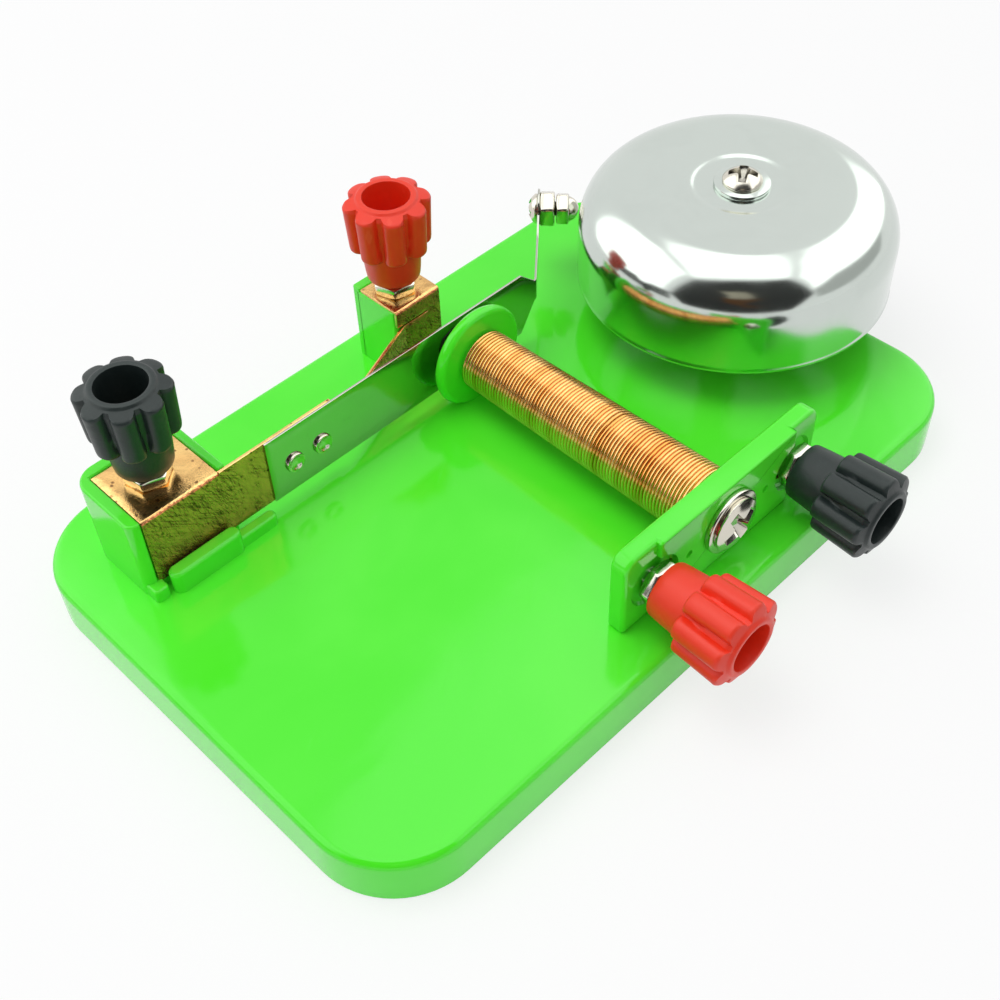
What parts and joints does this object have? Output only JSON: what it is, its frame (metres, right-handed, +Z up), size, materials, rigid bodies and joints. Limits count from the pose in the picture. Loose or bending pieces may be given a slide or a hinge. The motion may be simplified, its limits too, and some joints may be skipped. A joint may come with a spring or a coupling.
{
  "type": "electric bell demonstrator",
  "caption": "Classroom electric bell: a green tray with a horizontal coil, a sprung armature and hammer, a contact tongue, a domed gong and lobed binding posts.",
  "frame": {"origin": "on the plane of the underside, below the centre of the base", "axes": "+X along the base towards the gong, +Y across it towards the armature, +Z up"},
  "size_m": [0.1569, 0.1028, 0.0446],
  "materials": {
    "green_plastic": "glossy moulded plastic, bright green",
    "copper_sheet": "copper sheet, glossy, scratched and slightly tarnished",
    "coil_wire": "enamelled copper wire, glossy",
    "spring_steel": "bright spring steel, almost a mirror",
    "nickel": "nickel-plated steel, glossy",
    "gong_chrome": "chrome-plated pressed steel",
    "iron": "soft iron bar, turned",
    "brass_insert": "turned brass",
    "black_knob": "moulded plastic, satin, black with a green cast",
    "red_knob": "moulded plastic, satin, red"
  },
  "bodies": {
    "stand": {"base": "green_plastic", "coil_former": "green_plastic", "coil_winding": "coil_wire", "coil_leads": "coil_wire", "core": "iron", "core_screw": "nickel", "core_washer": "nickel", "contact_bracket": "copper_sheet", "armature_bracket": "copper_sheet", "gong_pillar": "nickel", "pillar_screw": "nickel", "gong": "gong_chrome", "gong_washer": "gong_chrome", "gong_screw": "nickel", "left_post_stud": "nickel", "left_post_nut": "nickel", "rear_post_stud": "nickel", "rear_post_nut": "nickel", "coil_red_post_stud": "nickel", "coil_red_post_nut": "nickel", "coil_black_post_stud": "nickel", "coil_black_post_nut": "nickel"},
    "armature": {"armature_arm": "copper_sheet", "armature_strip": "spring_steel", "armature_rivets": "nickel", "hammer_screw": "nickel", "hammer_nut": "nickel", "striker": "nickel"},
    "left_knob_cap": {"left_knob": "black_knob", "left_knob_insert": "brass_insert"},
    "rear_knob_cap": {"rear_knob": "red_knob", "rear_knob_insert": "brass_insert"},
    "coil_red_knob_cap": {"coil_red_knob": "red_knob", "coil_red_knob_insert": "brass_insert"},
    "coil_black_knob_cap": {"coil_black_knob": "black_knob", "coil_black_knob_insert": "brass_insert"}
  },
  "joints": [
    {"name": "armature_swing", "type": "hinge", "parent": "stand", "child": "armature", "pos_m": [-0.0364, 0.0209, 0.0186], "axis": [0, 0, 1], "range_deg": [-1.1, 0], "stiffness_Nm_per_rad": 0.35},
    {"name": "left_knob_turn", "type": "hinge", "parent": "stand", "child": "left_knob_cap", "pos_m": [-0.0516, 0.0283, 0.032], "axis": [0, 0, 1], "continuous": true},
    {"name": "rear_knob_turn", "type": "hinge", "parent": "stand", "child": "rear_knob_cap", "pos_m": [0.0059, 0.0345, 0.032], "axis": [0, 0, 1], "continuous": true},
    {"name": "coil_red_knob_turn", "type": "hinge", "parent": "stand", "child": "coil_red_knob_cap", "pos_m": [-0.0082, -0.045, 0.01755], "axis": [0, -1, 0], "continuous": true},
    {"name": "coil_black_knob_turn", "type": "hinge", "parent": "stand", "child": "coil_black_knob_cap", "pos_m": [0.0256, -0.045, 0.01755], "axis": [0, -1, 0], "continuous": true}
  ]
}
